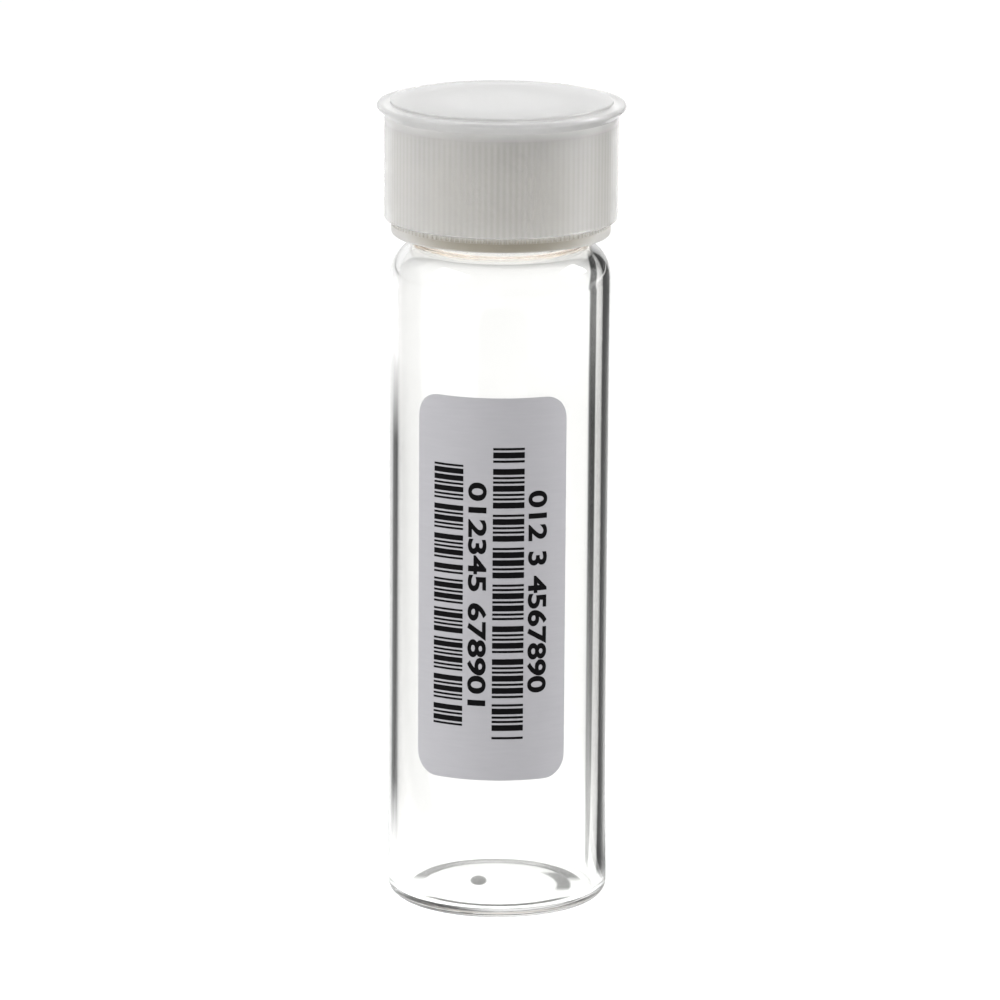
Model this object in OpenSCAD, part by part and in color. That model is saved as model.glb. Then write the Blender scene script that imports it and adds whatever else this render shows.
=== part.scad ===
// Glass sample vial: a clear screw-neck vial with a label, an open-top screw cap over a
// septum, and a push-on dust cover. The foot stands on z = 0 and the axis is Z. The label
// is at the front, towards -Y. The cap is screwed down and the cover is pushed home.

/* [Glass vial] */
// Outer diameter of the straight body
body_d = 27.5; // [23:0.5:40]
// Height from the foot to the sealing rim
vial_h = 95; // [70:1:140]
// Thickness of the side wall
wall_t = 1.1; // [0.8:0.1:1.6]
// Thickness of the floor
floor_t = 1.1; // [0.8:0.1:3]
// Radius of the outer heel
heel_r = 1.5; // [0.8:0.1:3]
// Radius of the inner corner between the wall and the floor
inner_heel_r = 1.0; // [0.5:0.1:3]
// Width of the flat ring that the vial stands on
foot_ring_w = 2.8; // [1:0.1:5]
// Height of the shallow hollow under the floor
push_up_h = 0.6; // [0.3:0.1:1.2]
// Radius of the shoulder's outer curve
shoulder_r = 5.0; // [3.5:0.1:6]

/* [Neck and thread] */
// Outer diameter of the neck between the thread's turns
neck_d = 21.4; // [18:0.2:23]
// Bore of the neck
bore_d = 16.6; // [10:0.2:18]
// Height of the neck from the shoulder to the rim
neck_h = 11.6; // [11:0.1:18]
// Radius of the hollow curve where the neck meets the shoulder
neck_fillet_r = 0.5; // [0.4:0.1:1.4]
// Radius of the rounded edges of the sealing rim
rim_edge_r = 0.5; // [0.2:0.1:0.9]
// How far the thread stands out of the neck
thread_depth = 1.15; // [0.8:0.05:1.3]
// Width of the thread's bead at its root
thread_w = 2.3; // [1.8:0.1:2.4]
// Pitch of the right-hand thread
pitch = 3.175; // [3:0.025:3.6]
// Turns of thread on the neck, with its faded ends
neck_turns = 1.4; // [1:0.05:2]
// Plain neck above the top of the thread
thread_start = 1.1; // [0.8:0.1:2]

/* [Septum] */
// Diameter of the septum
septum_d = 22.4; // [21.6:0.1:24]
// Thickness of the septum
septum_t = 3.2; // [1:0.1:4]

/* [Screw cap] */
// Outer diameter of the cap's bottom band
cap_d = 27.1; // [26.8:0.1:32]
// Diameter of the opening in the cap's top
cap_opening_d = 15; // [8:0.5:17]
// Thickness of the cap's top
web_t = 1.4; // [1:0.1:2.5]
// Gap between the shoulder and the bottom of the cap
cap_gap = 1.0; // [0.8:0.1:4]
// Height of the smooth band below the ribs
band_h = 1.2; // [0.6:0.1:3]
// How many grip ribs stand round the cap
rib_count = 120; // [60:2:140]
// How far the ribs stand out
rib_depth = 0.3; // [0.2:0.05:0.5]
// Radius of the cap's rounded top edge
cap_edge_r = 1.0; // [0.4:0.1:1.2]
// Turns of thread inside the cap, with its faded ends
cap_turns = 1.3; // [1:0.05:2]
// How far the cap's thread stands in from its wall
cap_thread_depth = 1.1; // [0.8:0.05:1.3]
// Width of the cap's thread at its root
cap_thread_w = 1.3; // [0.8:0.1:1.4]
// Clearance between the cap's wall and the crest of the neck's thread
crest_clear = 0.3; // [0.2:0.05:0.5]
// Clearance all round the septum
septum_clear = 0.1; // [0.05:0.05:0.3]

/* [Dust cover] */
// Thickness of the cover's skirt
skirt_t = 0.75; // [0.5:0.05:1.2]
// Clearance between the skirt and the cap
cover_clear = 0.13; // [0.1:0.01:0.4]
// Height of the cap that the skirt leaves bare
cap_bare_h = 1.9; // [1:0.1:6]
// Thickness of the cover's flat top
cover_top_t = 1.45; // [1:0.05:2]
// How far the flared flange stands out of the skirt
flange_out = 0.9; // [0.6:0.02:1.2]
// Radius of the flange's rounded edge
flange_edge_r = 0.4; // [0.2:0.05:0.6]
// Height of the raised flat top above the flange
disc_step = 0.35; // [0.1:0.05:0.5]
// Width of the flange outside the raised flat top
disc_inset = 1.6; // [1:0.05:2]

/* [Label] */
// Thickness of the label
label_t = 0.1; // [0.05:0.01:0.2]
// Glass left bare below the label
label_below = 18.1; // [5:0.1:40]
// Straight glass left bare above the label
label_above = 12.3; // [2:0.1:20]
// Width of the label, measured round the glass
label_w = 19.6; // [10:0.1:34]
// How far the label's middle is turned to the left of the front
label_turn = 4.6; // [-30:0.1:30]
// Radius of the label's corners
label_corner_r = 2.9; // [1:0.1:5]

/* [Hidden] */
$fn = 96;
fine_fn = 360;          // facets of the wide, flat curves of the floor
eps = 0.01;             // how far a cut runs past the face it opens
small_round = 0.3;      // radius of the plastic's small edges
sink = 0.3;             // how deep a thread or a rib is rooted in its wall
rib_inset = 0.05;       // how far the ribs' crests lie inside the band
ring_step = 10;         // degrees between the sections of a thread
fade_angle = 45;        // degrees over which a thread runs out at each end
label_corner_n = 8;     // straight steps round each corner of the label

// The glass body
body_r = body_d / 2;
inner_r = body_r - wall_t;
foot_in_r = body_r - heel_r - foot_ring_w;
push_up_r = (pow(foot_in_r, 2) + pow(push_up_h, 2)) / (2 * push_up_h);
push_up_z = push_up_h - push_up_r;

// The shoulder's curves share one centre, at radius bend_r and height bend_z
neck_r = neck_d / 2;
bore_r = bore_d / 2;
rim_round = min(rim_edge_r, 0.4 * (neck_r - bore_r));   // leaves the rim a flat to seal on
shoulder_top = vial_h - neck_h;
bend_r = body_r - shoulder_r;
bend_z = shoulder_top - rise(shoulder_r, neck_r - bend_r);
inner_bend_r = shoulder_r - wall_t;

// The threads: the cap's runs in the middle of the neck's groove
crest_r = neck_r + thread_depth;
neck_thread_z = vial_h - thread_start - thread_w / 2 - neck_turns * pitch;
cap_thread_z = neck_thread_z - pitch / 2;

// The screw cap and what it holds down
septum_r = septum_d / 2;
septum_top = vial_h + septum_t;
cap_top = septum_top + web_t;
cap_bottom = shoulder_top + cap_gap;
cap_r = cap_d / 2;
cap_inner_r = crest_r + crest_clear;
seat_r = septum_r + septum_clear;
seat_bottom = vial_h - small_round;
rib_crest_r = cap_r - rib_inset;
rib_root_r = rib_crest_r - rib_depth;
cap_wall_r = rib_root_r - 2 * rib_inset;
rib_bottom = cap_bottom + band_h - sink;
rib_top = cap_top - cap_edge_r;

// The dust cover
cover_bottom = cap_bottom + cap_bare_h;
cover_in_r = cap_r + cover_clear;
skirt_r = cover_in_r + skirt_t;
flange_r = skirt_r + flange_out;
cover_top = cap_top + cover_top_t;
flange_top = cover_top - disc_step;
flange_mid = flange_top - flange_edge_r;

// The label
label_h = bend_z - label_below - label_above;
label_z = label_below + label_h / 2;

// How far a circle of radius r rises over its centre, at d to the side of it
function rise(r, d) = sqrt(r * r - pow(max(0, d), 2));

// Round-cornered rectangle from a to b; r lists its corners' radii from a, anticlockwise
module rounded_rect(a, b, r) {
    difference() {
        translate(a) square(b - a);
        corner_cut(a, [1, 1], r[0]);
        corner_cut([b.x, a.y], [-1, 1], r[1]);
        corner_cut(b, [-1, -1], r[2]);
        corner_cut([a.x, b.y], [1, -1], r[3]);
    }
}

// What rounding takes off the corner p, whose material lies in the direction inside
module corner_cut(p, inside, r) {
    low = [inside.x > 0 ? -eps : -r, inside.y > 0 ? -eps : -r];
    if (r > 0)
        difference() {
            translate(p + low) square(r + eps);
            translate(p + r * inside) circle(r);
        }
}

// The shoulder's curve of radius arc_r, filled in to the axis
module shoulder_2d(arc_r) {
    translate([bend_r, bend_z]) circle(arc_r);
    translate([0, bend_z - arc_r]) square([bend_r, 2 * arc_r]);
}

// What fills the corner between the curve of radius arc_r and an upright side, outside
// a round of radius r that touches both
module blend_2d(side_r, arc_r, r) {
    reach = max(0, side_r + r - bend_r);
    middle = [side_r + r, bend_z + rise(arc_r + r, reach)];
    share = arc_r / (arc_r + r);
    touch = [
        reach > 0 ? bend_r + share * reach : middle.x,
        bend_z + share * (middle.y - bend_z)
    ];
    difference() {
        polygon([[side_r - r, touch.y - r], touch, middle, [side_r - r, middle.y]]);
        translate(middle) circle(r);
    }
}

// A thread's bead, half an ellipse swept up a right-hand helix from height z. It stands
// on the radius wall by height, which is negative for a thread that points inwards.
module thread_bead(wall, height, width, z, turns) {
    rings = round(turns * 360 / ring_step);
    out = sign(height);
    reach = abs(height) + sink;
    section = [for (a = [-90 : 22.5 : 90]) [cos(a), sin(a)]];
    sides = len(section);
    points = [
        for (i = [0 : rings]) let (
            turn = i * ring_step,
            left = min(i, rings - i) * ring_step / fade_angle,
            size = left < 1 ? 0.1 + 0.9 * sin(90 * left) : 1
        )
        for (s = section) let (r = wall - out * sink + out * reach * size * s.x)
            [r * cos(turn), r * sin(turn), z + pitch * turn / 360 + width / 2 * size * s.y]
    ];
    skin = [
        for (i = [0 : rings - 1], j = [0 : sides - 1]) let (
            a = i * sides + j,
            b = i * sides + (j + 1) % sides
        )
        each [[a, b + sides, b], [a, a + sides, b + sides]]
    ];
    faces = concat(skin, [[for (j = [0 : sides - 1]) j]],
        [[for (j = [sides - 1 : -1 : 0]) rings * sides + j]]);
    polyhedron(points, out > 0 ? [for (f = faces) reversed(f)] : faces);
}

function reversed(list) = [for (i = [len(list) - 1 : -1 : 0]) list[i]];

module glass_vial() {
    color([0.93, 0.96, 0.96, 0.4]) {
        rotate_extrude()
            difference() {
                glass_outside_2d();
                glass_inside_2d();
                translate([0, push_up_z]) circle(push_up_r, $fn = fine_fn);
            }
        thread_bead(neck_r, thread_depth, thread_w, neck_thread_z, neck_turns);
    }
}

module glass_outside_2d() {
    rounded_rect([0, 0], [body_r, bend_z], [0, heel_r, 0, 0]);
    shoulder_2d(shoulder_r);
    rounded_rect([0, bend_z], [neck_r, vial_h], [0, 0, rim_round, 0]);
    blend_2d(neck_r, shoulder_r, neck_fillet_r);
}

module glass_inside_2d() {
    difference() {
        rounded_rect([0, floor_t], [inner_r, bend_z], [0, inner_heel_r, 0, 0]);
        translate([0, push_up_z]) circle(push_up_r + floor_t, $fn = fine_fn);
    }
    shoulder_2d(inner_bend_r);
    translate([0, bend_z]) square([bore_r, vial_h - bend_z + eps]);
    blend_2d(bore_r, inner_bend_r, wall_t);
    corner_cut([bore_r, vial_h], [1, -1], rim_round);
}

module label() {
    color([0.69, 0.69, 0.7])
        rotate([0, 0, -label_turn])
            intersection() {
                translate([0, 0, label_below])
                    difference() {
                        cylinder(h = label_h, r = body_r + label_t);
                        translate([0, 0, -eps]) cylinder(h = label_h + 2 * eps, r = body_r);
                    }
                translate([0, 0, label_z])
                    rotate([90, 0, 0])
                        linear_extrude(body_r + 2 * label_t)
                            polygon(label_outline());
            }
}

// The label's outline as it is seen from the front, with its width wrapped on the glass
function label_outline() = [
    for (side = [[1, 1, 0], [-1, 1, 90], [-1, -1, 180], [1, -1, 270]], i = [0 : label_corner_n])
        let (
            a = side[2] + 90 * i / label_corner_n,
            along = side[0] * (label_w / 2 - label_corner_r) + label_corner_r * cos(a),
            up = side[1] * (label_h / 2 - label_corner_r) + label_corner_r * sin(a)
        )
        [body_r * sin(along / body_r * 180 / PI), up * (1 + eps / label_h)]
];

module septum() {
    color([0.86, 0.83, 0.76])
        translate([0, 0, vial_h]) cylinder(h = septum_t, r = septum_r);
}

module screw_cap() {
    color([0.9, 0.9, 0.87]) {
        rotate_extrude()
            difference() {
                cap_outside_2d();
                cap_inside_2d();
            }
        cap_ribs();
        thread_bead(cap_inner_r, -cap_thread_depth, cap_thread_w, cap_thread_z, cap_turns);
    }
}

module cap_outside_2d() {
    rounded_rect([0, cap_bottom], [cap_wall_r, cap_top], [0, 0, cap_edge_r, 0]);
    rounded_rect([0, cap_bottom], [cap_r, cap_bottom + band_h], [0, small_round, 0, 0]);
}

module cap_inside_2d() {
    translate([0, cap_bottom - eps]) square([cap_inner_r, seat_bottom - cap_bottom + eps]);
    corner_cut([cap_inner_r, cap_bottom], [1, 1], small_round);
    translate([0, seat_bottom - eps]) square([seat_r, septum_top - seat_bottom + eps]);
    translate([0, septum_top - eps]) square([cap_opening_d / 2, web_t + 2 * eps]);
    corner_cut([cap_opening_d / 2, cap_top], [1, -1], small_round);
}

// The grip ribs are one ring; each rib has a flat crest and two sloping flanks
module cap_ribs() {
    rib_angle = 360 / rib_count;
    flank = [[-0.3, rib_root_r], [-0.17, rib_crest_r], [0.17, rib_crest_r], [0.3, rib_root_r]];
    translate([0, 0, rib_bottom])
        linear_extrude(rib_top - rib_bottom)
            difference() {
                polygon([
                    for (i = [0 : rib_count - 1], f = flank) let (a = (i + f[0]) * rib_angle)
                        f[1] * [cos(a), sin(a)]
                ]);
                circle(cap_wall_r - sink);
            }
}

module dust_cover() {
    color([0.94, 0.95, 0.95, 0.8])
        rotate_extrude()
            difference() {
                cover_outside_2d();
                translate([0, cover_bottom - eps])
                    square([cover_in_r, cap_top - cover_bottom + eps]);
                corner_cut([cover_in_r, cover_bottom], [1, 1], small_round / 2);
            }
}

// The flange has a rounded edge, and its underside slopes in to the skirt at 45 degrees
module cover_outside_2d() {
    middle = [flange_r - flange_edge_r, flange_mid];
    touch = middle + flange_edge_r * [cos(45), -sin(45)];
    foot = [skirt_r - eps, touch.y - (touch.x - skirt_r + eps)];
    rounded_rect([0, cover_bottom], [skirt_r, flange_top], [0, small_round, 0, 0]);
    polygon([foot, touch, middle, [middle.x, flange_top], [foot.x, flange_top]]);
    translate(middle) circle(flange_edge_r);
    rounded_rect([0, flange_mid], [flange_r - disc_inset, cover_top], [0, 0, small_round / 2, 0]);
}

glass_vial();
label();
septum();
screw_cap();
dust_cover();
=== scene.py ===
import math

import bmesh
import bpy
import numpy as np
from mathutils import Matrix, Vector


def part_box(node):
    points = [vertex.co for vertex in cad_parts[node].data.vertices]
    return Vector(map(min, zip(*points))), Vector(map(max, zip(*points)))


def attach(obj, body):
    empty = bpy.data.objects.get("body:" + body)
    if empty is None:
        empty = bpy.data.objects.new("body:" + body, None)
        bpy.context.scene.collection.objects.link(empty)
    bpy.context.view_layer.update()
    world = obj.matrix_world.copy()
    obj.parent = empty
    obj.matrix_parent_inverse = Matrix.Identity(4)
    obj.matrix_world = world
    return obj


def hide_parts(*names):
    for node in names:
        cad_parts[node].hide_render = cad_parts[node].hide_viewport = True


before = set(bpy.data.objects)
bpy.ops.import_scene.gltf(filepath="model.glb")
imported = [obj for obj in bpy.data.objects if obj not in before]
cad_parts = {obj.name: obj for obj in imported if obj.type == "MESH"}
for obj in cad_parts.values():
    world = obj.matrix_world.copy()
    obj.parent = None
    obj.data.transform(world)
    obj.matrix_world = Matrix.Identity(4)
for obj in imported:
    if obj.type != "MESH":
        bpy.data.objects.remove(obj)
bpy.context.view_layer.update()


# --- Camera -----------------------------------------------------------------------------
# A long lens some 0.8 m in front of the vial and a little above its lid, tipped down to
# the middle of the body. The horizon is a little off level.
camera_distance = 0.812
camera_height = 0.2454
camera_aside = 0.0001
camera_tilt = math.radians(13.5)
camera_roll = math.radians(0.37)

camera = bpy.data.objects.new("camera", bpy.data.cameras.new("camera"))
camera.data.lens = 241.5
camera.data.sensor_width = 36.0
camera.data.clip_end = 20.0
camera.location = (camera_aside, -camera_distance, camera_height)
camera.rotation_mode = "ZYX"
camera.rotation_euler = (math.radians(90) - camera_tilt, 0.0, camera_roll)
bpy.context.scene.collection.objects.link(camera)
bpy.context.scene.camera = camera


# --- Glass vial -------------------------------------------------------------------------
# A clear glass tube, closed and flattened at the foot and drawn in to a screw neck. The
# floor is pushed up a little in the middle, so that the vial stands on a ring.
MM = 0.001
glass_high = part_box("glass_vial")[1]
body_r = glass_high.x / MM
rim_z = glass_high.z / MM
wall = 1.1
heel_r = 1.5
inner_heel_r = 1.0
foot_ring = 2.8
push_up = 0.6
shoulder_r = 5.0
neck_r = 10.7
bore_r = 8.3
neck_height = 11.6
neck_fillet = 0.5
rim_round = 0.5
pitch = 3.175
thread_depth = 1.15
thread_width = 2.3
thread_turns = 500 / 360
thread_start = 1.1
thread_drop = 1.4 * pitch


def arc(centre, radius, start, end, steps):
    """Points of a circle's arc in the (radius, height) plane: the centre plus the radius
    times (cos a, sin a), for a from start to end in degrees."""
    a = np.radians(np.linspace(start, end, steps + 1))
    return np.stack([centre[0] + radius * np.cos(a), centre[1] + radius * np.sin(a)], 1)


def straight(start, end, steps):
    """Points spaced evenly from start to end, both ends left out."""
    share = np.linspace(0, 1, steps + 2)[1:-1, None]
    return np.array(start) + share * (np.array(end) - np.array(start))


def thread_radius(root, depth, width, first_z, turns, z, angle):
    """Radius of a threaded wall at height z and angle. A turn's middle is at first_z plus
    the pitch times the turns made, and the bead stands on the root as half an ellipse of
    that width and depth. Over the first and last eighth of a turn it sinks into the wall."""
    sink = 0.3
    side = np.sign(depth)
    stand = np.zeros(np.broadcast(z, angle).shape)
    for whole in range(int(math.ceil(turns))):
        made = whole + angle / (2 * math.pi)
        size = np.sin(np.pi / 2 * np.clip(np.minimum(made, turns - made) * 8, 0, 1)) + 1e-6
        across = (z - first_z - pitch * made) / (width / 2 * size)
        bead = (abs(depth) + sink) * size * np.sqrt(np.clip(1 - across**2, 0, 1)) - sink
        stand = np.maximum(stand, np.where(made <= turns, bead, 0))
    return root + side * stand


def ring_grid(name, radius, z, angle, closed):
    """A mesh from a grid of rings, in millimetres. Row i is a point of the profile and
    column j an angle: x is radius cos angle, y is radius sin angle. A closed profile joins
    its last row to its first; otherwise its end rows lie on the axis and become poles."""
    radius, z, angle = np.broadcast_arrays(radius, z, angle)
    rows, columns = radius.shape
    points = np.stack([radius * np.cos(angle), radius * np.sin(angle), z], -1) * MM
    number = np.arange(rows * columns).reshape(rows, columns)
    if closed:
        number = np.vstack([number, number[:1]])
    else:
        number[0] = number[0, 0]
        number[-1] = number[-1, 0]
    turned = np.roll(number, -1, axis=1)
    corners = np.stack([number[:-1], turned[:-1], turned[1:], number[1:]], -1).reshape(-1, 4)
    pointed = (corners[:, 0] == corners[:, 1]) | (corners[:, 2] == corners[:, 3])
    fans = [list(dict.fromkeys(corner)) for corner in corners[pointed].tolist()]
    mesh = bpy.data.meshes.new(name)
    mesh.from_pydata(points.reshape(-1, 3), [], corners[~pointed].tolist() + fans)
    return finished(mesh)


def finished(mesh):
    """The mesh's object, smooth, with points that no face uses taken out."""
    edit = bmesh.new()
    edit.from_mesh(mesh)
    loose = [v for v in edit.verts if not v.link_faces]
    bmesh.ops.delete(edit, geom=loose, context="VERTS")
    edit.to_mesh(mesh)
    edit.free()
    mesh.polygons.foreach_set("use_smooth", np.ones(len(mesh.polygons), bool))
    piece = bpy.data.objects.new(mesh.name, mesh)
    bpy.context.scene.collection.objects.link(piece)
    return piece


def full_turn(columns):
    """The angles of that many columns, spaced evenly once round."""
    return np.linspace(0, 2 * math.pi, columns, endpoint=False)


inner_r = body_r - wall
foot_in_r = body_r - heel_r - foot_ring
push_up_r = (foot_in_r**2 + push_up**2) / (2 * push_up)
push_up_z = push_up - push_up_r
shoulder_x = body_r - shoulder_r
shoulder_z = rim_z - neck_height - math.sqrt(shoulder_r**2 - (neck_r - shoulder_x) ** 2)
fillet_x = neck_r + neck_fillet
fillet_z = shoulder_z + math.sqrt(
    (shoulder_r + neck_fillet) ** 2 - (fillet_x - shoulder_x) ** 2
)
shoulder_end = math.degrees(math.atan2(fillet_z - shoulder_z, fillet_x - shoulder_x))
inner_shoulder_r = shoulder_r - wall
ceiling_z = shoulder_z + inner_shoulder_r
dome_r = push_up_r + wall
dome_edge = math.sqrt(dome_r**2 - (wall - push_up_z) ** 2)


def dome(radius, reach, steps):
    """Points from the axis out to reach on a circle of that radius about the push-up's
    centre, which lies far below the floor."""
    r = np.linspace(0, reach, steps + 1)
    return np.stack([r, push_up_z + np.sqrt(radius**2 - r**2)], 1)


neck_low = (neck_r, fillet_z)
neck_high = (neck_r, rim_z - rim_round)
glass_profile = np.vstack([
    dome(push_up_r, foot_in_r, 14),
    arc((body_r - heel_r, heel_r), heel_r, -90, 0, 14),
    straight((body_r, heel_r), (body_r, shoulder_z), 6),
    arc((shoulder_x, shoulder_z), shoulder_r, 0, shoulder_end, 20),
    arc((fillet_x, fillet_z), neck_fillet, 180 + shoulder_end, 180, 8)[1:],
    straight(neck_low, neck_high, 100),
    arc((neck_r - rim_round, rim_z - rim_round), rim_round, 0, 90, 6),
    arc((bore_r + rim_round, rim_z - rim_round), rim_round, 90, 180, 6),
    straight((bore_r, rim_z - rim_round), (bore_r, ceiling_z + wall), 3),
    arc((bore_r + wall, ceiling_z + wall), wall, 180, 270, 10),
    arc((shoulder_x, shoulder_z), inner_shoulder_r, 90, 0, 16),
    straight((inner_r, shoulder_z), (inner_r, wall + inner_heel_r), 6),
    arc((inner_r - inner_heel_r, wall + inner_heel_r), inner_heel_r, 0, -90, 10),
    dome(dome_r, dome_edge, 16)[::-1],
])
glass_angle = full_turn(300)
glass_r, glass_z = glass_profile[:, :1], glass_profile[:, 1:]
on_neck = (glass_z > fillet_z) & (glass_z < rim_z - rim_round) & (glass_r > bore_r + wall)
first_turn = rim_z - thread_start - thread_width / 2 - thread_drop
threaded = thread_radius(
    neck_r, thread_depth, thread_width, first_turn, thread_turns, glass_z, glass_angle
)
glass_vial = ring_grid(
    "vial_glass", np.where(on_neck, threaded, glass_r), glass_z, glass_angle, closed=False
)


def principled(name):
    """A new material, its node tree and its Principled shader."""
    material = bpy.data.materials.new(name)
    material.use_nodes = True
    tree = material.node_tree
    return material, tree, tree.nodes["Principled BSDF"]


def surface_of(tree, share, first, second):
    """Joins two shaders as the material's surface: the first where the share is 0 and the
    second where it is 1. The share is a number or a socket."""
    both = tree.nodes.new("ShaderNodeMixShader")
    if isinstance(share, float):
        both.inputs["Fac"].default_value = share
    else:
        tree.links.new(share, both.inputs["Fac"])
    tree.links.new(first, both.inputs[1])
    tree.links.new(second, both.inputs[2])
    tree.links.new(both.outputs["Shader"], tree.nodes["Material Output"].inputs["Surface"])


glass, tree, shader = principled("clear_glass")
shader.inputs["Base Color"].default_value = (0.935, 0.935, 0.925, 1.0)
shader.inputs["Roughness"].default_value = 0.0
shader.inputs["IOR"].default_value = 1.5
shader.inputs["Transmission Weight"].default_value = 1.0
rays = tree.nodes.new("ShaderNodeLightPath")
clear = tree.nodes.new("ShaderNodeBsdfTransparent")
clear.inputs["Color"].default_value = (0.92, 0.93, 0.93, 1.0)
surface_of(tree, rays.outputs["Is Shadow Ray"], shader.outputs["BSDF"], clear.outputs["BSDF"])
glass_vial.data.materials.append(glass)
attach(glass_vial, "vial")
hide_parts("glass_vial")


# --- Label ------------------------------------------------------------------------------
# A metallised film with round corners, stuck to the front of the glass and turned a few
# degrees off the middle. Its satin face has a fine brushed grain.
label_low, label_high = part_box("label")
label_thickness = 0.1
label_clearance = 0.01
label_face_r = body_r + label_thickness
label_back_r = body_r + label_clearance
label_half_w = 9.8
label_half_h = (label_high.z - label_low.z) / 2 / MM
label_z = (label_high.z + label_low.z) / 2 / MM
label_corner = 2.9
label_turn = 4.6
label_middle = math.radians(-90 - label_turn)
film_edge_angle = math.radians(40)


def wrapped(along, up, radius):
    """Where a point of the flat label goes on the vial, in metres: along is measured round
    the glass from the label's middle, so the angle is along over the body's radius."""
    a = label_middle + along / body_r
    return np.stack([radius * np.cos(a), radius * np.sin(a), label_z + up], -1) * MM


def slab(face_grid, back_grid):
    """Points and faces of a thin sheet between two grids of points of one size: the face,
    the back turned the other way, and the four edges between them."""
    rows, columns = face_grid.shape[:2]
    points = np.concatenate([face_grid.reshape(-1, 3), back_grid.reshape(-1, 3)])
    number = np.arange(rows * columns).reshape(rows, columns)
    a, b = number[:-1, :-1], number[:-1, 1:]
    c, d = number[1:, 1:], number[1:, :-1]
    front = np.stack([a, b, c, d], -1).reshape(-1, 4)
    rim = np.concatenate([number[0, :-1], number[:-1, -1], number[-1, :0:-1], number[:0:-1, 0]])
    turned = np.roll(rim, -1)
    behind = rows * columns
    edge = np.stack([rim, rim + behind, turned + behind, turned], -1)
    return points, np.concatenate([front, front[:, ::-1] + behind, edge])


corner_rows, middle_rows = 13, 13
rise = np.linspace(0, math.pi / 2, corner_rows)
corner_up = label_half_h - label_corner + label_corner * np.sin(rise)
corner_in = label_corner * (1 - np.cos(rise))
middle_up = np.linspace(-1, 1, middle_rows + 2)[1:-1] * corner_up[0]
up = np.concatenate([-corner_up[::-1], middle_up, corner_up])
inset = np.concatenate([corner_in[::-1], np.zeros(middle_rows), corner_in])
across = np.linspace(-1, 1, 61)
along = across[None, :] * (label_half_w - inset)[:, None]
up = np.broadcast_to(up[:, None], along.shape)
points, faces = slab(wrapped(along, up, label_face_r), wrapped(along, up, label_back_r))
mesh = bpy.data.meshes.new("label_film")
mesh.from_pydata(points, [], faces.tolist())
label = finished(mesh)
label.data.set_sharp_from_angle(angle=film_edge_angle)


def object_place(tree):
    """The socket that tells where on the object a point of the surface is."""
    return tree.nodes.new("ShaderNodeTexCoord").outputs["Object"]


def cloud(tree, place, scale, detail=2.0):
    """A cloudy pattern from 0 to 1, with scale clouds to a metre and that much fine detail."""
    node = tree.nodes.new("ShaderNodeTexNoise")
    node.inputs["Scale"].default_value = scale
    node.inputs["Detail"].default_value = detail
    tree.links.new(place, node.inputs["Vector"])
    return node.outputs["Fac"]


def tones(tree, pattern, first, second, start=0.0, end=1.0):
    """The first colour where the pattern is at or under start, the second where it is at or
    over end, and evenly in between."""
    node = tree.nodes.new("ShaderNodeValToRGB")
    for element, position, colour in zip(node.color_ramp.elements, (start, end), (first, second)):
        element.position = position
        element.color = (*colour, 1.0)
    tree.links.new(pattern, node.inputs["Fac"])
    return node.outputs["Color"]


def unevenness(tree, shader, pattern, strength, depth):
    """Bumps the shader's surface by the pattern, up to that depth in metres."""
    bump = tree.nodes.new("ShaderNodeBump")
    bump.inputs["Strength"].default_value = strength
    bump.inputs["Distance"].default_value = depth
    tree.links.new(pattern, bump.inputs["Height"])
    tree.links.new(bump.outputs["Normal"], shader.inputs["Normal"])


film, tree, shader = principled("satin_film")
brushed = tree.nodes.new("ShaderNodeMapping")
brushed.inputs["Scale"].default_value = (300.0, 300.0, 3000.0)
tree.links.new(object_place(tree), brushed.inputs["Vector"])
grain = cloud(tree, brushed.outputs["Vector"], 1.0, 3.0)
silver = tones(tree, grain, (0.515, 0.510, 0.536), (0.536, 0.530, 0.556), 0.3, 0.7)
tree.links.new(silver, shader.inputs["Base Color"])
unevenness(tree, shader, grain, 0.1, 0.00001)
shader.inputs["Roughness"].default_value = 0.42
shader.inputs["Metallic"].default_value = 0.35
label.data.materials.append(film)
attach(label, "vial")
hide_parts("label")


# --- Print on the label -----------------------------------------------------------------
# Two columns of bars and two lines of digits in black ink, read from the top down. The
# bars and digits are plain counting patterns and stand for no code.
print_back_r = label_face_r + 0.002
print_face_r = label_face_r + 0.008
bar_points = 13
bar_columns = {
    "left": ((-7.30, -3.34), (15.7, -17.4), 0.37),
    "right": ((0.34, 4.21), (18.0, -18.9), 0.11),
}

ink, tree, shader = principled("black_ink")
speckle = cloud(tree, object_place(tree), 5000.0)
ink_tone = tones(tree, speckle, (0.002, 0.002, 0.0025), (0.009, 0.0085, 0.0095))
tree.links.new(ink_tone, shader.inputs["Base Color"])
shader.inputs["Roughness"].default_value = 0.6
shader.inputs["Specular IOR Level"].default_value = 0.05


def bar_edges(top, bottom, seed):
    """Upper and lower edges of a column of 45 bars between two heights. Bar k is wide where
    the fraction of k times the golden ratio, plus the seed, is over 0.6, and the gap after
    it is wide where the same by the root of two is over 0.82. All are then scaled to fill
    the column."""
    golden, root_two = 0.6180, 1.4142
    wide_bar, narrow_bar = 0.70, 0.28
    wide_gap, narrow_gap = 0.72, 0.24
    k = np.arange(45)
    bars = np.where((k * golden + seed) % 1 > 0.60, wide_bar, narrow_bar)
    gaps = np.where((k * root_two + seed) % 1 > 0.82, wide_gap, narrow_gap)
    both = np.stack([bars, gaps], 1).reshape(-1)[:-1]
    edges = top + (bottom - top) * np.concatenate([[0], np.cumsum(both)]) / both.sum()
    return edges[0::2], edges[1::2]


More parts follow.
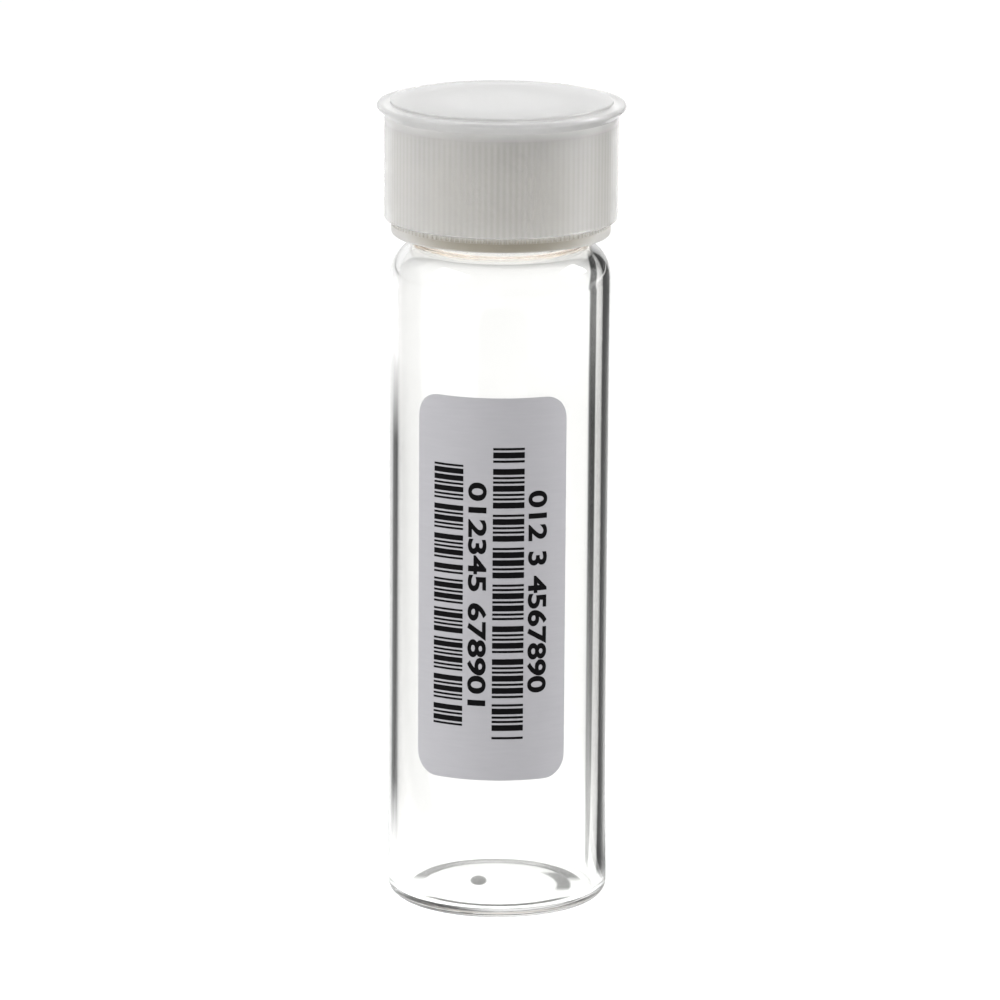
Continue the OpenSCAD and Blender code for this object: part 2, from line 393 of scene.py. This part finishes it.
for side, ((left, right), (top, bottom), seed) in bar_columns.items():
    upper, lower = bar_edges(top, bottom, seed)
    all_points, all_faces, used = [], [], 0
    along = np.linspace(left, right, bar_points)[None, :].repeat(2, 0)
    for high, low in zip(upper, lower):
        up = np.array([[low], [high]]) + 0 * along
        points, faces = slab(wrapped(along, up, print_face_r), wrapped(along, up, print_back_r))
        all_points.append(points)
        all_faces.append(faces + used)
        used += len(points)
    mesh = bpy.data.meshes.new("label_bars_" + side)
    mesh.from_pydata(np.concatenate(all_points), [], np.concatenate(all_faces).tolist())
    bars = finished(mesh)
    bars.data.set_sharp_from_angle(angle=film_edge_angle)
    bars.data.materials.append(ink)
    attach(bars, "vial")

digit_lines = {
    "left": ("012345 678901", -2.74, 2.36, 13.6, -14.7),
    "right": ("012 3 4567890", 4.68, 2.5, 12.5, -13.1),
}
for side, (digits, foot, height, top, bottom) in digit_lines.items():
    text = bpy.data.curves.new("label_digits_" + side, "FONT")
    text.body = digits
    text.bevel_depth = 0.03
    text.bevel_resolution = 0
    text_object = bpy.data.objects.new(text.name, text)
    bpy.context.scene.collection.objects.link(text_object)
    flat = bpy.data.meshes.new_from_object(text_object)
    bpy.data.objects.remove(text_object)
    edit = bmesh.new()
    edit.from_mesh(flat)
    # The back of the letters goes, and cuts across them let them bend round the glass.
    behind = [v for v in edit.verts if v.co.z < -0.0001]
    bmesh.ops.delete(edit, geom=behind, context="VERTS")
    letters = np.array([v.co[:2] for v in edit.verts])
    low, size = letters.min(0), np.ptp(letters, 0)
    for cut in np.linspace(0, 1, 11)[1:-1]:
        bmesh.ops.bisect_plane(
            edit, geom=edit.verts[:] + edit.edges[:] + edit.faces[:],
            plane_co=(0, low[1] + cut * size[1], 0), plane_no=(0, 1, 0),
        )
    edit.to_mesh(flat)
    edit.free()
    letters = np.empty(len(flat.vertices) * 3)
    flat.vertices.foreach_get("co", letters)
    read, stand = ((letters.reshape(-1, 3)[:, :2] - low) / size).T
    points = wrapped(foot + height * stand, top + (bottom - top) * read, print_face_r)
    flat.vertices.foreach_set("co", points.reshape(-1))
    line = finished(flat)
    line.name = "label_digits_" + side
    line.data.materials.clear()
    line.data.materials.append(ink)
    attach(line, "vial")


# --- Septum -----------------------------------------------------------------------------
# A disc of soft silicone with a thin barrier film under it, clamped between the glass rim
# and the cap's top. A needle goes through it.
septum_low, septum_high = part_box("septum")
septum_r = septum_high.x / MM
septum_bottom, septum_top = septum_low.z / MM, septum_high.z / MM
septum_round = 0.15
barrier_top = septum_bottom + 0.25
septum_profile = np.vstack([
    [(0, septum_bottom)],
    arc((septum_r - septum_round, septum_bottom + septum_round), septum_round, -90, 0, 4),
    arc((septum_r - septum_round, septum_top - septum_round), septum_round, 0, 90, 4),
    [(0, septum_top)],
])
septum = ring_grid(
    "septum_disc", septum_profile[:, :1], septum_profile[:, 1:], full_turn(160), closed=False
)


def figure(tree, operation, *inputs):
    """The output of a Math node of that operation. Each input is a number or a socket."""
    node = tree.nodes.new("ShaderNodeMath")
    node.operation = operation
    for slot, value in zip(node.inputs, inputs):
        if isinstance(value, (int, float)):
            slot.default_value = value
        else:
            tree.links.new(value, slot)
    return node.outputs["Value"]


def times(tree, first, *others):
    """The product of the first socket and the rest, which are sockets or numbers."""
    for other in others:
        first = figure(tree, "MULTIPLY", first, other)
    return first


def blended(tree, share, first, second):
    """The first colour where the share is 0 and the second where it is 1. The first is a
    colour or a socket."""
    node = tree.nodes.new("ShaderNodeMix")
    node.data_type = "RGBA"
    tree.links.new(share, node.inputs["Factor"])
    if isinstance(first, tuple):
        node.inputs["A"].default_value = (*first, 1.0)
    else:
        tree.links.new(first, node.inputs["A"])
    node.inputs["B"].default_value = (*second, 1.0)
    return node.outputs["Result"]


def light_within(tree, shader, where, strength):
    """Lights the inside of the closed neck where the socket where is 1, for rays that went
    through glass or plastic and for no others. It is drawn, and not worked out from the
    lamps: without it the neck shows a dark ring."""
    rays = tree.nodes.new("ShaderNodeLightPath")
    through = figure(tree, "SUBTRACT", rays.outputs["Is Transmission Ray"],
                     rays.outputs["Is Diffuse Ray"])
    glow = times(tree, figure(tree, "MAXIMUM", through, 0.0), where, strength)
    shader.inputs["Emission Color"].default_value = (1.0, 0.995, 0.98, 1.0)
    tree.links.new(glow, shader.inputs["Emission Strength"])


silicone, tree, shader = principled("septum_silicone")
place = object_place(tree)
height = tree.nodes.new("ShaderNodeSeparateXYZ")
tree.links.new(place, height.inputs["Vector"])
above = figure(tree, "GREATER_THAN", height.outputs["Z"], barrier_top * MM)
layers = blended(tree, above, (0.62, 0.50, 0.36), (0.80, 0.78, 0.73))
tree.links.new(layers, shader.inputs["Base Color"])
unevenness(tree, shader, cloud(tree, place, 400.0), 0.2, 0.00005)
shader.inputs["Roughness"].default_value = 0.6
underside = figure(tree, "LESS_THAN", height.outputs["Z"], barrier_top * MM)
light_within(tree, shader, underside, 0.75)
septum.data.materials.append(silicone)
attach(septum, "septum")
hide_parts("septum")


# --- Screw cap --------------------------------------------------------------------------
# One moulding of natural polypropylene, open in the middle of its top. Fine upright ribs
# run down its side to a smooth band, and its thread hooks under the thread of the neck.
cap_low, cap_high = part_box("screw_cap")
cap_r = cap_high.x / MM
cap_bottom, cap_top = cap_low.z / MM, cap_high.z / MM
thread_gap = 0.3
cap_inner_r = neck_r + thread_depth + thread_gap
cap_thread_depth = 1.1
cap_thread_width = 1.3
cap_thread_turns = 470 / 360
seat_gap = 0.1
seat_r = septum_r + seat_gap
cap_opening = 7.5
band_height = 1.2
crest_inset = 0.05
rib_crest = cap_r - crest_inset
rib_depth = 0.3
root_inset = 0.1
cap_edge = 1.0
band_shade_fade = 0.6
small_round = 0.3
moulded_edge_angle = math.radians(35)
ribs = 120
rib_steps = np.array([-0.5, -0.3, -0.17, 0.0, 0.17, 0.3])
rib_height = np.array([0.0, 0.0, 1.0, 1.0, 1.0, 0.0])

seat_z = rim_z - small_round
band_top = cap_bottom + band_height
band_edge = cap_r - rib_crest
rib_top = cap_top - cap_edge
cap_wall_r = rib_crest - rib_depth - root_inset
cap_profile = np.vstack([
    arc((cap_inner_r + small_round, cap_bottom + small_round), small_round, 180, 270, 4),
    arc((cap_r - small_round, cap_bottom + small_round), small_round, -90, 0, 4),
    arc((rib_crest, band_top - band_edge), band_edge, 0, 90, 2),
    straight((rib_crest, band_top), (rib_crest, rib_top), 3),
    [(rib_crest, rib_top)],
    arc((cap_wall_r - cap_edge, rib_top), cap_edge, 0, 90, 8),
    arc((cap_opening + small_round, cap_top - small_round), small_round, 90, 180, 4),
    [(cap_opening, septum_top), (seat_r, septum_top), (seat_r, seat_z), (cap_inner_r, seat_z)],
    straight((cap_inner_r, seat_z), (cap_inner_r, cap_bottom + small_round), 70),
])
rib_angle = 2 * math.pi / ribs
cap_angle = (np.arange(ribs)[:, None] + rib_steps[None, :]).reshape(-1) * rib_angle
cap_radius, cap_z = cap_profile[:, :1], cap_profile[:, 1:]
grooves = rib_depth * (1 - np.tile(rib_height, ribs))
ribbed = (cap_radius == rib_crest) & (cap_z > band_top) & (cap_z <= rib_top)
inside = (cap_radius == cap_inner_r) & (cap_z > cap_bottom + small_round)
cap_thread = thread_radius(
    cap_inner_r, -cap_thread_depth, cap_thread_width, first_turn - pitch / 2,
    cap_thread_turns, cap_z, cap_angle % (2 * math.pi),
)
cap_radius = np.where(ribbed, cap_radius - grooves, np.where(inside, cap_thread, cap_radius))
screw_cap = ring_grid("cap_moulding", cap_radius, cap_z, cap_angle, closed=True)
facing_in = (cap_profile[:, :1] < cap_inner_r + small_round + 0.01) & (cap_z <= septum_top)
cap_marks = {
    "groove": ribbed * (1 - np.tile(rib_height, ribs)),
    "hollow": facing_in * np.ones(len(cap_angle)),
}
for mark, values in cap_marks.items():
    screw_cap.data.attributes.new(mark, "FLOAT", "POINT")
    screw_cap.data.attributes[mark].data.foreach_set("value", values.reshape(-1))
screw_cap.data.set_sharp_from_angle(angle=moulded_edge_angle)


def ramp(tree, value, start, end):
    """0 where the value is at or before start, 1 at or past end, and even in between."""
    node = tree.nodes.new("ShaderNodeMapRange")
    node.inputs["From Min"].default_value = start
    node.inputs["From Max"].default_value = end
    tree.links.new(value, node.inputs["Value"])
    return node.outputs["Result"]


def marked(tree, mark):
    """The value that the mesh carries under that name."""
    node = tree.nodes.new("ShaderNodeAttribute")
    node.attribute_name = mark
    return node.outputs["Fac"]


# The band is painted a tan shade, strongest where it faces the viewer, as the shade under
# the cover's skirt. It is drawn by the side that it is seen from, so it slides round with
# the view and an export may lose it.
plastic, tree, shader = principled("natural_polypropylene")
place = object_place(tree)
milk = tones(tree, cloud(tree, place, 180.0, 3.0), (0.95, 0.94, 0.92), (0.98, 0.97, 0.95))
height = tree.nodes.new("ShaderNodeSeparateXYZ")
tree.links.new(place, height.inputs["Vector"])
in_band = ramp(tree, height.outputs["Z"], (band_top + band_shade_fade) * MM, band_top * MM)
edge_on = tree.nodes.new("ShaderNodeLayerWeight")
edge_on.inputs["Blend"].default_value = 0.5
toward_viewer = times(tree, ramp(tree, edge_on.outputs["Facing"], 0.5, 0.05), 0.9)
with_band_shade = blended(tree, times(tree, toward_viewer, in_band), milk, (0.56, 0.52, 0.43))
# The grooves between the ribs are painted a darker colour, as painted shade in them.
cap_colour = blended(tree, marked(tree, "groove"), with_band_shade, (0.86, 0.845, 0.82))
tree.links.new(cap_colour, shader.inputs["Base Color"])
unevenness(tree, shader, cloud(tree, place, 2500.0), 0.15, 0.00002)
shader.inputs["Roughness"].default_value = 0.42
shader.inputs["IOR"].default_value = 1.49
shader.inputs["Subsurface Weight"].default_value = 1.0
shader.inputs["Subsurface Radius"].default_value = (1.0, 1.0, 1.0)
shader.inputs["Subsurface Scale"].default_value = 0.0001
light_within(tree, shader, marked(tree, "hollow"), 1.6)
glow_through = tree.nodes.new("ShaderNodeBsdfTranslucent")
tree.links.new(cap_colour, glow_through.inputs["Color"])
surface_of(tree, 0.5, shader.outputs["BSDF"], glow_through.outputs["BSDF"])
screw_cap.data.materials.append(plastic)
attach(screw_cap, "cap")
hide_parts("screw_cap")


# --- Dust cover -------------------------------------------------------------------------
# A soft, cloudy polyethylene lid pushed over the screw cap. It has a thin skirt, a rolled
# edge to lift it by and a slightly raised flat disc on top. Faint darker lines, as many as
# the cap's ribs, are painted shade of the ribs behind the skirt, drawn in its colour to help
# the ribs show through, and go where it goes.
cover_low, cover_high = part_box("dust_cover")
flange_r = cover_high.x / MM
cover_bottom, cover_top = cover_low.z / MM, cover_high.z / MM
flange_out = 0.9
flange_edge = 0.4
disc_step = 0.35
disc_inset = 1.6
disc_r = flange_r - disc_inset
disc_fillet = 0.05
cover_wall = 0.75
cover_round = 0.15
cover_fade = 1.0
lid_rings = (4, 9)
skirt_r = flange_r - flange_out
cover_in_r = skirt_r - cover_wall
flange_top = cover_top - disc_step
flange_mid = flange_top - flange_edge
flare_z = flange_mid - flange_out - (math.sqrt(2) - 1) * flange_edge
cover_profile = np.vstack([
    [(r, cap_top) for r in (0, *lid_rings, cover_in_r)],
    straight((cover_in_r, cap_top), (cover_in_r, cover_bottom + cover_round), 4),
    arc((cover_in_r + cover_round, cover_bottom + cover_round), cover_round, 180, 270, 4),
    arc((skirt_r - small_round, cover_bottom + small_round), small_round, -90, 0, 5),
    straight((skirt_r, cover_bottom + small_round), (skirt_r, flare_z), 4),
    [(skirt_r, flare_z)],
    arc((flange_r - flange_edge, flange_mid), flange_edge, -45, 90, 12),
    [(disc_r + disc_fillet, flange_top), (disc_r, flange_top + disc_fillet)],
    arc((disc_r - cover_round, cover_top - cover_round), cover_round, 0, 90, 4),
    [(r, cover_top) for r in (*lid_rings[::-1], 0)],
])
dust_cover = ring_grid(
    "cover_moulding", cover_profile[:, :1], cover_profile[:, 1:], full_turn(256), closed=False
)
dust_cover.data.set_sharp_from_angle(angle=moulded_edge_angle)

soft_plastic, tree, shader = principled("cloudy_polyethylene")
place = object_place(tree)
milk = tones(tree, cloud(tree, place, 120.0, 3.0), (0.95, 0.94, 0.92), (0.98, 0.975, 0.96))
parts = tree.nodes.new("ShaderNodeSeparateXYZ")
tree.links.new(place, parts.inputs["Vector"])
# Painted shade: darker lines between the places of the cap's ribs, fading out above them.
around = figure(tree, "ARCTAN2", parts.outputs["Y"], parts.outputs["X"])
wave = figure(tree, "COSINE", times(tree, around, ribs))
between_ribs = figure(tree, "MULTIPLY_ADD", wave, -0.5, 0.5)
beside_ribs = ramp(tree, parts.outputs["Z"], rib_top * MM, (rib_top - cover_fade) * MM)
rib_shade = times(tree, between_ribs, beside_ribs)
tree.links.new(blended(tree, rib_shade, milk, (0.84, 0.83, 0.81)), shader.inputs["Base Color"])
unevenness(tree, shader, cloud(tree, place, 1200.0), 0.15, 0.00003)
shader.inputs["Roughness"].default_value = 0.2
shader.inputs["IOR"].default_value = 1.51
shader.inputs["Transmission Weight"].default_value = 0.5
shader.inputs["Subsurface Weight"].default_value = 1.0
shader.inputs["Subsurface Radius"].default_value = (1.0, 1.0, 1.0)
shader.inputs["Subsurface Scale"].default_value = 0.0015
on_skirt = ramp(tree, parts.outputs["Z"], flare_z * MM, (flare_z - cover_fade) * MM)
straight_through = tree.nodes.new("ShaderNodeBsdfTransparent")
straight_through.inputs["Color"].default_value = (0.985, 0.985, 0.98, 1.0)
surface_of(tree, times(tree, on_skirt, 0.5), shader.outputs["BSDF"],
           straight_through.outputs["BSDF"])
dust_cover.data.materials.append(soft_plastic)
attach(dust_cover, "cover")
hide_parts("dust_cover")


# --- Table top, daylight and lamps ------------------------------------------------------
# A plain pale table top under an even white sky, with a soft lamp on each side and one
# above. Rays that come through the glass, or as reflections, find dark screens in both,
# which draw its edges, and painted shade under its foot. None of these is part of the vial.
def band(tree, value, low_out, low_in, high_in, high_out):
    """1 between the two inner values, falling to 0 at the two outer ones."""
    return figure(tree, "MINIMUM", ramp(tree, value, low_out, low_in),
                  ramp(tree, value, high_out, high_in))


def seen_rays(tree):
    """Sockets that are 1 for rays of one kind and else 0: those seen by the camera or
    through glass or as a reflection, those only refracted, those refracted more often than
    the four walls of a plain look through the vial need, those also reflected inside the
    glass, and reflected rays."""
    rays = tree.nodes.new("ShaderNodeLightPath")
    through, mirrored = rays.outputs["Is Transmission Ray"], rays.outputs["Is Reflection Ray"]
    seen = figure(tree, "MAXIMUM", rays.outputs["Is Glossy Ray"],
                  figure(tree, "MAXIMUM", through, rays.outputs["Is Camera Ray"]))
    inner = figure(tree, "GREATER_THAN", rays.outputs["Glossy Depth"], 0.5)
    guided = figure(tree, "MULTIPLY", through, inner)
    straight_on = figure(tree, "SUBTRACT", through, guided)
    often = figure(tree, "GREATER_THAN", rays.outputs["Transmission Depth"], 4.5)
    winding = figure(tree, "MULTIPLY", straight_on, often)
    return seen, straight_on, winding, guided, mirrored


def screen_share(tree, x, y, away, straight_on, winding, guided, mirrored):
    """How much of a ray's light the screens take. The angle is that of (x, y) clockwise
    from straight behind the vial, and away is the distance in metres. What is seen through
    the walls meets a narrow screen at 9 to 14 degrees. Only rays that wind through thick
    glass see a wide one at 25 to 72 and a grey one on the left, so that a plain look
    through the vial stays clear from every side. Rays that the glass has turned round find
    soft edges, wider further off, and on the left only the nearer table is dark."""
    angle = figure(tree, "DEGREES", figure(tree, "ARCTAN2", x, y))
    beyond = ramp(tree, away, 0.013, 0.02)
    narrow = times(tree, band(tree, angle, 8.6, 9.4, 13.6, 14.3),
                   figure(tree, "MULTIPLY_ADD", ramp(tree, away, 0.06, 0.2), 0.3, 0.65))
    wide = times(tree, band(tree, angle, 23.0, 26.0, 72.0, 76.0), 0.92)
    left = times(tree, band(tree, angle, -46.0, -42.0, -20.0, -17.5),
                 ramp(tree, away, 0.02, 0.06), 0.9)
    large = times(tree, figure(tree, "MAXIMUM", wide, left), winding)
    spread = figure(tree, "MULTIPLY_ADD", away, 30.0, -7.0)
    shifted = figure(tree, "ADD", angle, spread)
    second = times(tree, band(tree, shifted, 5.0, 27.0, 72.0, 76.0), 0.95)
    table_left = times(tree, ramp(tree, angle, 0.0, -8.0), ramp(tree, away, 0.34, 0.26),
                       ramp(tree, away, 0.02, 0.06))
    depth = figure(tree, "MULTIPLY_ADD", ramp(tree, angle, -22.0, -28.0), 0.33, 0.65)
    second = figure(tree, "MAXIMUM", second, times(tree, table_left, depth))
    behind = times(tree, band(tree, angle, -50.0, -46.0, -36.0, -32.0), table_left, 0.6)
    third = times(tree, band(tree, angle, 24.0, 27.0, 72.0, 76.0), 0.95)
    third = figure(tree, "MAXIMUM", third, behind)
    share = figure(tree, "MAXIMUM", times(tree, straight_on, narrow), large)
    share = figure(tree, "MAXIMUM", share, times(tree, guided, second))
    return times(tree, figure(tree, "MAXIMUM", share, times(tree, mirrored, third)), beyond)


def radius_from(tree, x, y, spot, size):
    """The distance of (x, y) from the spot, in millimetres, over a width and a depth."""
    shift = [figure(tree, "MULTIPLY_ADD", value, 1000 / part, -centre / part)
             for value, centre, part in zip((x, y), spot, size)]
    square = [figure(tree, "POWER", value, 2.0) for value in shift]
    return figure(tree, "SQRT", figure(tree, "ADD", *square))


def foot_shade(tree, x, y):
    """Painted shade drawn on the table under the foot: a dark line along the front and back of
    its ring as a painted contact shadow, a grey patch on the right and a small spot near the
    middle. They were placed for the view in front, and nothing in the glass makes them."""
    round_foot = radius_from(tree, x, y, (0, -0.35), (1, 1))
    along = figure(tree, "MAXIMUM", ramp(tree, y, -0.005, -0.007), ramp(tree, y, 0.001, 0.003))
    line = times(tree, band(tree, round_foot, 9.1, 9.4, 10.9, 11.2), along, 0.98)
    patch = times(tree, band(tree, radius_from(tree, x, y, (0, 0), (1, 1)), 7.3, 7.7, 9.1, 9.5),
                  ramp(tree, x, 0.0, 0.001), band(tree, y, -0.003, -0.0015, 0.0045, 0.0055), 0.9)
    spot = ramp(tree, radius_from(tree, x, y, (-2.3, 1.7), (1.05, 2.1)), 1.1, 0.85)
    return figure(tree, "MAXIMUM", figure(tree, "MAXIMUM", line, patch), spot)


table_half = 6.0
table_rows = 5
table_gap = 0.0001
across = np.linspace(-table_half, table_half, table_rows)
x, y = np.meshgrid(across, across)
points = np.stack([x, y, np.full_like(x, -table_gap)], -1).reshape(-1, 3)
number = np.arange(table_rows**2).reshape(table_rows, table_rows)
faces = np.stack([number[:-1, :-1], number[:-1, 1:], number[1:, 1:], number[1:, :-1]], -1)
mesh = bpy.data.meshes.new("table_top")
mesh.from_pydata(points, [], faces.reshape(-1, 4).tolist())
table_top = finished(mesh)

# Near the vial the screens' angles are measured from a bar nearly as wide as its body,
# which stands a little behind its axis.
bar_half, bar_behind = 0.012, 0.003
paper, tree, shader = principled("white_paper")
tree.nodes.remove(shader)
place = object_place(tree)
parts = tree.nodes.new("ShaderNodeSeparateXYZ")
tree.links.new(place, parts.inputs["Vector"])
outside = figure(tree, "SUBTRACT", figure(tree, "ABSOLUTE", parts.outputs["X"]), bar_half)
x = times(tree, figure(tree, "MAXIMUM", outside, 0.0),
          figure(tree, "SIGN", parts.outputs["X"]))
y = figure(tree, "SUBTRACT", parts.outputs["Y"], bar_behind)
seen, straight_on, winding, guided, mirrored = seen_rays(tree)
away = tree.nodes.new("ShaderNodeVectorMath")
away.operation = "LENGTH"
tree.links.new(place, away.inputs[0])
dark = screen_share(tree, x, y, away.outputs["Value"],
                    straight_on, winding, guided, mirrored)
# Painted shade under the foot, shown only to rays that come through the glass.
foot_shade_share = foot_shade(tree, parts.outputs["X"], parts.outputs["Y"])
through = figure(tree, "ADD", straight_on, guided)
dark = figure(tree, "MAXIMUM", dark, times(tree, foot_shade_share, through))
matt = tree.nodes.new("ShaderNodeBsdfDiffuse")
matt.inputs["Color"].default_value = (0.85, 0.85, 0.85, 1.0)
glow = tree.nodes.new("ShaderNodeEmission")
tree.links.new(figure(tree, "MULTIPLY", seen, 0.3), glow.inputs["Strength"])
lit = tree.nodes.new("ShaderNodeAddShader")
tree.links.new(matt.outputs["BSDF"], lit.inputs[0])
tree.links.new(glow.outputs["Emission"], lit.inputs[1])
screen = tree.nodes.new("ShaderNodeEmission")
screen.inputs["Color"].default_value = (0.02, 0.02, 0.02, 1.0)
surface_of(tree, dark, lit.outputs["Shader"], screen.outputs["Emission"])
table_top.data.materials.append(paper)

sky = bpy.data.worlds.new("even_sky")
sky.use_nodes = True
bpy.context.scene.world = sky
tree = sky.node_tree
place = tree.nodes.new("ShaderNodeTexCoord")
parts = tree.nodes.new("ShaderNodeSeparateXYZ")
tree.links.new(place.outputs["Generated"], parts.inputs["Vector"])
seen, straight_on, winding, guided, mirrored = seen_rays(tree)
far_off = tree.nodes.new("ShaderNodeValue")
far_off.outputs["Value"].default_value = 0.4
dark = screen_share(tree, parts.outputs["X"], parts.outputs["Y"], far_off.outputs["Value"],
                    straight_on, winding, guided, mirrored)
forward = figure(tree, "MULTIPLY_ADD", parts.outputs["X"], -0.27, parts.outputs["Y"])
daylight = figure(tree, "MULTIPLY_ADD", ramp(tree, forward, -0.8, 0.0), 0.42, 0.03)
daylight = figure(tree, "MULTIPLY_ADD", ramp(tree, forward, 0.0, 0.8), 0.5, daylight)
level = figure(tree, "MAXIMUM", daylight, seen)
level = figure(tree, "MULTIPLY", level, figure(tree, "SUBTRACT", 1.0, dark))
tree.links.new(level, tree.nodes["Background"].inputs["Strength"])
tree.nodes["Background"].inputs["Color"].default_value = (1.0, 1.0, 1.0, 1.0)

lamps = {
    "left_lamp": ((-1.05, -0.4, 0.95), 0.8, 9.8),
    "right_lamp": ((1.1, 0.2, 0.82), 0.5, 13.0),
    "top_lamp": ((0.0, 0.2, 1.3), 0.8, 1.0),
}
lamps_meet = Vector((0, 0, 0.05))
for name, (spot, size, power) in lamps.items():
    lamp = bpy.data.objects.new(name, bpy.data.lights.new(name, "AREA"))
    lamp.data.energy = power
    lamp.data.size = size
    lamp.location = spot
    aim = lamps_meet - Vector(spot)
    lamp.rotation_euler = aim.to_track_quat("-Z", "Y").to_euler()
    bpy.context.scene.collection.objects.link(lamp)

bpy.context.scene.view_settings.view_transform = "Standard"
bpy.context.scene.cycles.max_bounces = 24
bpy.context.scene.cycles.glossy_bounces = 16
bpy.context.scene.cycles.transmission_bounces = 16
